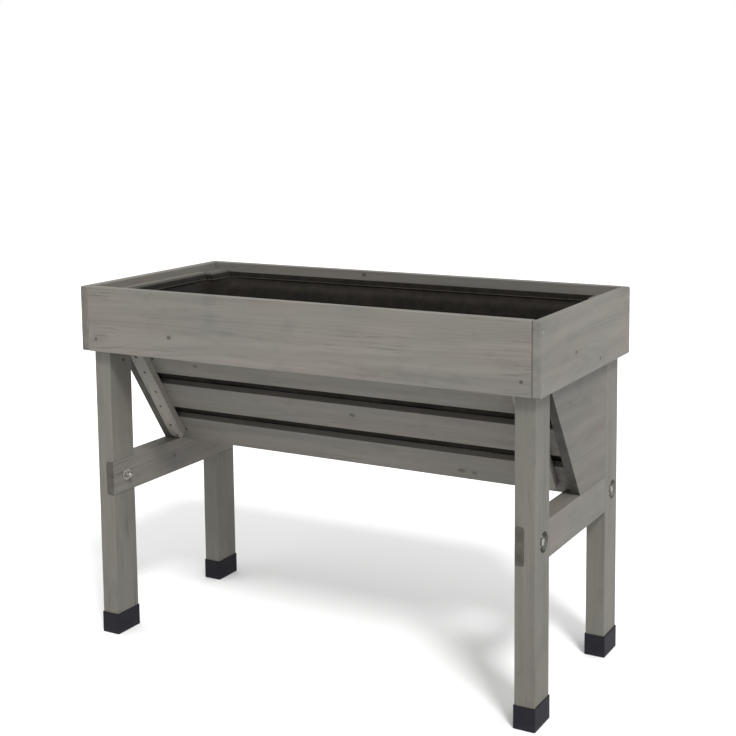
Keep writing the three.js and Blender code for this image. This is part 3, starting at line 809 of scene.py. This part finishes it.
# ---- Liner ----
# A bag sewn from black-brown needled felt that lies against the inside of the trough, laps
# over the top slats on to the boards, and is hemmed round the rim.
felt, tree, shader = new_material("needled_felt")
here = node(tree, "ShaderNodeTexCoord").outputs["Object"]
fibres = stretch_noise(tree, here, (420, 420, 420), 5.0, 0.75).outputs["Fac"]
clumps = stretch_noise(tree, here, (45, 45, 45), 3.0, 0.6).outputs["Fac"]
matted = blend_colours(tree, ramp(tree, clumps, 0.3, 0.7), shade(27, 24, 20), shade(37, 33, 28))
fluffy = blend_colours(tree, ramp(tree, fibres, 0.52, 0.72, 0.0, 0.6), matted, shade(56, 52, 46))
tree.links.new(fluffy, shader.inputs["Base Color"])
shader.inputs["Roughness"].default_value = 0.95
shader.inputs["Sheen Weight"].default_value = 0.08
shader.inputs["Specular IOR Level"].default_value = 0.2
roughen(tree, shader, maths(tree, "ADD", fibres, clumps), 0.7, 0.001)

WOOD_GAP = 0.0018
FELT = 0.0024
STEP = 0.010
FLOOR_FILLET = 0.012
HEM = 0.014
LAP = 0.016
RIM_DROP = 0.0015
LEAVES_SLOPE = 0.357
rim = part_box("liner")[1].z - RIM_DROP
floor_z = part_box("base_board")[1].z + WOOD_GAP
board_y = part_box("back_board")[0].y - WOOD_GAP
slat_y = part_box("back_slat_1")[0].y - WOOD_GAP
back_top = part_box("back_slat_4")[1].z + WOOD_GAP
batten_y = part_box("back_batten_left")[0].y - WOOD_GAP
leg_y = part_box("leg_back_left")[0].y - WOOD_GAP
end_x = -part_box("end_panel_left")[1].x - WOOD_GAP
leg_x = -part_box("leg_front_left")[1].x - WOOD_GAP
batten_x = -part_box("back_batten_left")[1].x - WOOD_GAP


def on_slope(up):
    """Where the felt lies that far up the slope, behind the battens and the slats."""
    place = toe + UP_SLOPE * up - out_of_slope * (2 * THICKNESS + WOOD_GAP)
    return place.y, place.z


def stepped(*corners):
    """Points along a line through those corners, about a step apart, with both its ends."""
    line = []
    for start, end in zip(corners, corners[1:]):
        count = max(1, round(math.dist(start, end) / STEP))
        line += [tuple(a + (b - a) * i / count for a, b in zip(start, end)) for i in range(count)]
    return line + [corners[-1]]


def filled_to(line, count):
    """The line with that many points, its corners kept, by halving its longest steps."""
    line = list(line)
    while len(line) < count:
        longest = max(range(len(line) - 1), key=lambda i: math.dist(line[i], line[i + 1]))
        middle = tuple((a + b) / 2 for a, b in zip(line[longest], line[longest + 1]))
        line.insert(longest + 1, middle)
    return line


def clear_of_wood(point, front_limit, back_limit):
    """A point of the section moved off the timbers that stand into the trough there."""
    y, z = point
    if y < 0:
        return max(y, -front_limit), z
    beside_leg = back_limit < batten_y
    below_slat_top = z < back_top + 0.001
    return min(y, back_limit if beside_leg or below_slat_top else board_y), z


# The section of the bag, from the front of the rim down the slope, over the base and up again.
floor_up = (floor_z - on_slope(0)[1]) / math.sin(slope)
front_line = stepped(
    (-board_y, rim), (-board_y, rim - LAP), on_slope(LEAVES_SLOPE), on_slope(floor_up + FLOOR_FILLET)
)
back_line = stepped(
    (board_y, rim), (board_y, back_top), (slat_y, back_top), (slat_y, floor_z + FLOOR_FILLET)
)
rows = max(len(front_line), len(back_line))
front_line, back_line = filled_to(front_line, rows), filled_to(back_line, rows)
floor_front = on_slope(floor_up)[0] + FLOOR_FILLET
floor_line = stepped((floor_front, floor_z), (slat_y - FLOOR_FILLET, floor_z))
section = front_line + floor_line + back_line[::-1]

# Where the section is repeated along the trough, and how far front and back it may reach there.
open_limits = (board_y, slat_y)
outer = []
for start, stop, count, limits in (
    (end_x, leg_x, 3, (leg_y, leg_y)), (leg_x, batten_x, 4, (board_y, batten_y)),
):
    outer += [(start + (stop - start) * i / count, limits) for i in range(count + 1)]
outer.append((batten_x, open_limits))
across = round(batten_x / STEP)
stations = [(-x, limits) for x, limits in outer]
stations += [(batten_x * i / across, open_limits) for i in range(1 - across, across)]
stations += outer[::-1]

bm = bmesh.new()
lengths = []
for x, limits in stations:
    lengths.append([bm.verts.new((x, *clear_of_wood(point, *limits))) for point in section])
for first, second in zip(lengths, lengths[1:]):
    for i in range(len(section) - 1):
        bm.faces.new((first[i], first[i + 1], second[i + 1], second[i]))

# The two end walls, woven between the front and the back of the outermost sections.
floor_steps = len(floor_line) - 1
for line in (lengths[0], lengths[-1]):
    grid = []
    for row in range(rows):
        start, stop = line[row], line[len(section) - 1 - row]
        between = [
            bm.verts.new(start.co.lerp(stop.co, i / floor_steps)) for i in range(1, floor_steps)
        ]
        grid.append([start] + between + [stop])
    grid.append(line[rows:rows + floor_steps + 1])
    for upper, lower in zip(grid, grid[1:]):
        for i in range(floor_steps):
            bm.faces.new((upper[i], upper[i + 1], lower[i + 1], lower[i]))

# Points that fell together are joined, and the faces turned into the bag.
FELT_WELD, SLIVER = 0.0016, 0.0004
bmesh.ops.remove_doubles(bm, verts=bm.verts, dist=FELT_WELD)
bmesh.ops.dissolve_degenerate(bm, edges=bm.edges, dist=SLIVER)
bmesh.ops.recalc_face_normals(bm, faces=bm.faces)
middle_of_bag = Vector((0, 0.06, 0.56))
if sum((middle_of_bag - f.calc_center_median()).dot(f.normal) for f in bm.faces) < 0:
    bmesh.ops.reverse_faces(bm, faces=bm.faces)
bm.normal_update()

# Stiff felt won't follow a sharp corner: it bridges the hollows, always away from the wood.
BRIDGING = 10
off_the_wood = {v: v.normal.copy() for v in bm.verts}
for _ in range(BRIDGING):
    eased = {}
    for vert in bm.verts:
        around = [e.other_vert(vert).co for e in vert.link_edges]
        move = (sum(around, Vector()) / len(around) - vert.co) * 0.5
        if vert.co.z < rim - HEM and move.dot(off_the_wood[vert]) > 0:
            eased[vert] = move
    for vert, move in eased.items():
        vert.co += move
bm.normal_update()

# It is a little rumpled too, with soft creases down the walls, and flat only under the hem.
BROAD, FINE, CREASE = 0.0042, 0.0011, 0.0021
SETTLES_IN = 0.03
rumple = [Vector([chance.uniform(0, 9) for axis in range(3)]) for layer in range(3)]
moves = []
for vert in bm.verts:
    broad = noise.noise(vert.co * 8 + rumple[0])
    fine = noise.noise(vert.co * 36 + rumple[1])
    hung = Vector((vert.co.x * 24, vert.co.y * 24, vert.co.z * 4)) + rumple[2]
    crease = 1.0 - min(1.0, abs(noise.noise(hung)) / 0.22)
    free = min(1.0, max(0.0, (rim - vert.co.z - HEM) / SETTLES_IN))
    rise = BROAD * max(0.0, broad + 0.2) + FINE * max(0.0, fine)
    rise += CREASE * crease * abs(vert.normal.z - 1)
    moves.append(vert.normal * free * rise)
for vert, move in zip(bm.verts, moves):
    vert.co += move

# Its open edge, point by point round the rim.
beside = {}
for edge in bm.edges:
    if edge.is_boundary:
        for vert in edge.verts:
            beside.setdefault(vert, []).append(edge.other_vert(vert))
first = next(iter(beside))
loop = [first, beside[first][0]]
while loop[-1] is not first:
    loop.append(next(v for v in beside[loop[-1]] if v is not loop[-2]))
rim_line = [vert.co.copy() for vert in loop[:-1]]
mesh = smooth_mesh("liner_bag", bm, math.pi)
mesh.materials.append(felt)
liner = add_object("liner_bag", mesh)
thick = liner.modifiers.new("felt_thickness", "SOLIDIFY")
thick.thickness = FELT
thick.offset = 0
finish_piece(liner, "liner", "liner")

# The hem: the top of the felt turned in and sewn down, so twice as thick and a little rounded.
if sum(a.x * b.y - b.x * a.y for a, b in zip(rim_line, rim_line[1:] + rim_line[:1])) < 0:
    rim_line.reverse()


def inwards_at(i):
    """The way into the bag at a point of its rim, long enough to mitre a corner."""
    here = rim_line[i]
    before = (here - rim_line[i - 1]).normalized()
    after = (rim_line[(i + 1) % len(rim_line)] - here).normalized()
    sides = [Vector((-way.y, way.x, 0)) for way in (before, after)]
    middle = (sides[0] + sides[1]).normalized()
    return middle / max(0.5, middle.dot(sides[0]))


def round_the_rim(depth, z):
    """A line round the rim, that far inside it and that high above it."""
    return [p + inwards_at(i) * depth + Vector((0, 0, z)) for i, p in enumerate(rim_line)]


LAID = FELT / 2 + 0.0002
fold = [
    (LAID, -HEM), (LAID + 0.0012, -HEM + 0.0002), (LAID + 0.0019, -HEM + 0.0012),
    (LAID + 0.0021, -HEM / 2), (LAID + 0.0019, -0.0014), (LAID + 0.0012, -0.0002), (LAID, 0.0),
]
bands = zip(*(round_the_rim(depth, z) for depth, z in fold))
hem = skinned("liner_hem", list(bands), closed=True)
hem.data.materials.append(felt)
finish_piece(hem, "liner")

# Waxed thread in even running stitches, one row round the hem close to its lower edge.
thread, tree, shader = new_material("waxed_thread")
here = node(tree, "ShaderNodeTexCoord").outputs["Object"]
plies = stretch_noise(tree, here, (2600, 2600, 2600), 2.0).outputs["Fac"]
spun = blend_colours(tree, plies, shade(70, 66, 60), shade(112, 106, 96))
tree.links.new(spun, shader.inputs["Base Color"])
tree.links.new(ramp(tree, plies, 0.2, 0.8, 0.5, 0.7), shader.inputs["Roughness"])
roughen(tree, shader, plies, 0.4, 0.0002)

sewn, given = geometry_group(
    "sewn_row",
    [("Stitch", "Object"), ("Thread", "Material"), ("Pitch", "Float"), ("Seed", "Int")],
)
tree = sewn
row = node(tree, "GeometryNodeMeshToCurve", {"Mesh": given["Geometry"]}).outputs[0]
inputs = {"Curve": row, "Length": given["Pitch"]}
paced = node(tree, "GeometryNodeCurveToPoints", inputs, mode="LENGTH").outputs
shape = node(tree, "GeometryNodeObjectInfo", {"Object": given["Stitch"]}).outputs["Geometry"]
inputs = {2: 0.85, 3: 1.1, "Seed": given["Seed"]}
pull = node(tree, "FunctionNodeRandomValue", inputs, data_type="FLOAT").outputs[1]
inputs = {"Points": paced["Points"], "Instance": shape, "Rotation": paced["Rotation"], "Scale": pull}
placed = node(tree, "GeometryNodeInstanceOnPoints", inputs).outputs[0]
make_real(tree, placed, given["Thread"])

STITCH = 0.0042
PITCH = 0.0068
THREAD_SIDES = 6
ABOVE_HEM_EDGE = 0.003
taper = ((0.00015, -0.5), (0.00045, -0.42), (0.00055, 0.0), (0.00045, 0.42), (0.00015, 0.5))
stitch_shape = skinned(
    "stitch", [circle(radius, along * STITCH, THREAD_SIDES) for radius, along in taper]
)
row_points = round_the_rim(LAID + 0.0023, ABOVE_HEM_EDGE - HEM)
row_edges = [(i, (i + 1) % len(row_points)) for i in range(len(row_points))]
row_mesh = bpy.data.meshes.new("stitch_row")
row_mesh.from_pydata(row_points, row_edges, [])
settings = {"Stitch": stitch_shape, "Thread": thread, "Pitch": PITCH, "Seed": 3}
stitches = from_nodes("liner_stitches", add_object("stitch_row", row_mesh), sewn, settings)
bpy.data.objects.remove(stitch_shape)
finish_piece(stitches, "liner")
